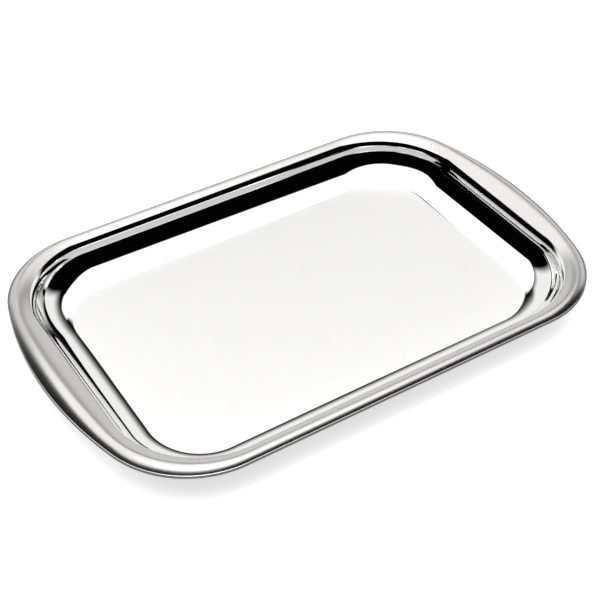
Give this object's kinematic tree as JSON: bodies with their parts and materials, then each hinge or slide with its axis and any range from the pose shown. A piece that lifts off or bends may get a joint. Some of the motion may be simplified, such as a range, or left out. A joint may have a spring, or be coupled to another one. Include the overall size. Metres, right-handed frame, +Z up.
{
  "type": "serving tray",
  "caption": "Shallow rectangular serving tray with rounded corners, a satin floor, a polished inner wall and a satin domed rim that widens into a grip at each end.",
  "frame": {"origin": "centre of the underside, on the surface the tray rests on", "axes": "+X along the length, from one grip to the other, +Y across the width, +Z up out of the well"},
  "size_m": [0.4, 0.262, 0.0307],
  "materials": {
    "polished_steel": "mirror polished wall, fine satin floor",
    "satin_steel": "fine satin",
    "hem_steel": "bright polished"
  },
  "bodies": {
    "root": {"tray_pan": "polished_steel", "rim_cap": "satin_steel", "rim_closing_ring": "hem_steel"}
  },
  "joints": []
}
